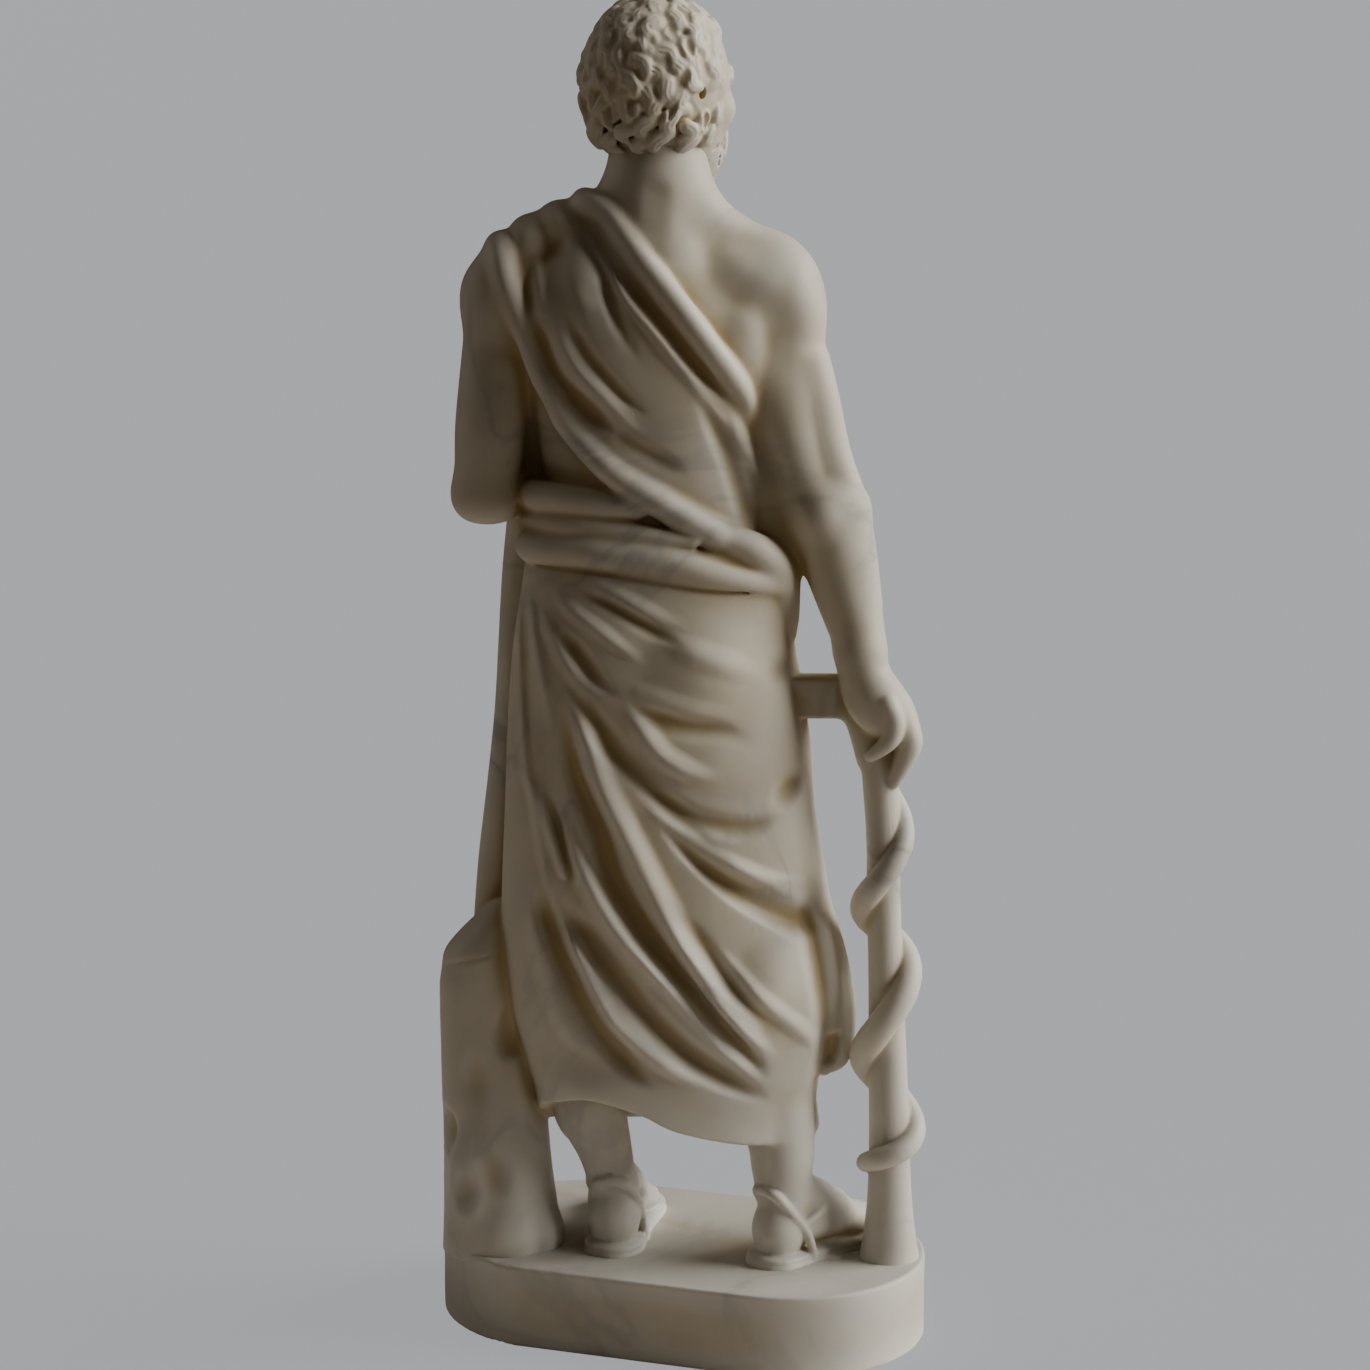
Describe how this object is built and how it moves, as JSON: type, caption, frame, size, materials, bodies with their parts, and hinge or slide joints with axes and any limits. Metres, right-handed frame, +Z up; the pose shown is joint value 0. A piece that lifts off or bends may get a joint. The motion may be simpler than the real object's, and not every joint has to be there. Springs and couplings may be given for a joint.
{
  "type": "marble statue",
  "caption": "Standing bearded man in a draped mantle, turned over a staff with a coiled snake, carved in one block with a stump, a strut and a round-ended plinth.",
  "frame": {"origin": "centre of the underside of the plinth", "axes": "+Z up; the long side of the plinth runs along X, the figure's front faces -Y, its right hand and the staff are on -X, the stump on +X"},
  "size_m": [0.2834, 0.156, 0.7526],
  "materials": {
    "marble": "honed, worn, with a thin yellow patina in the folds"
  },
  "bodies": {
    "root": {"statue": "marble"}
  },
  "joints": []
}
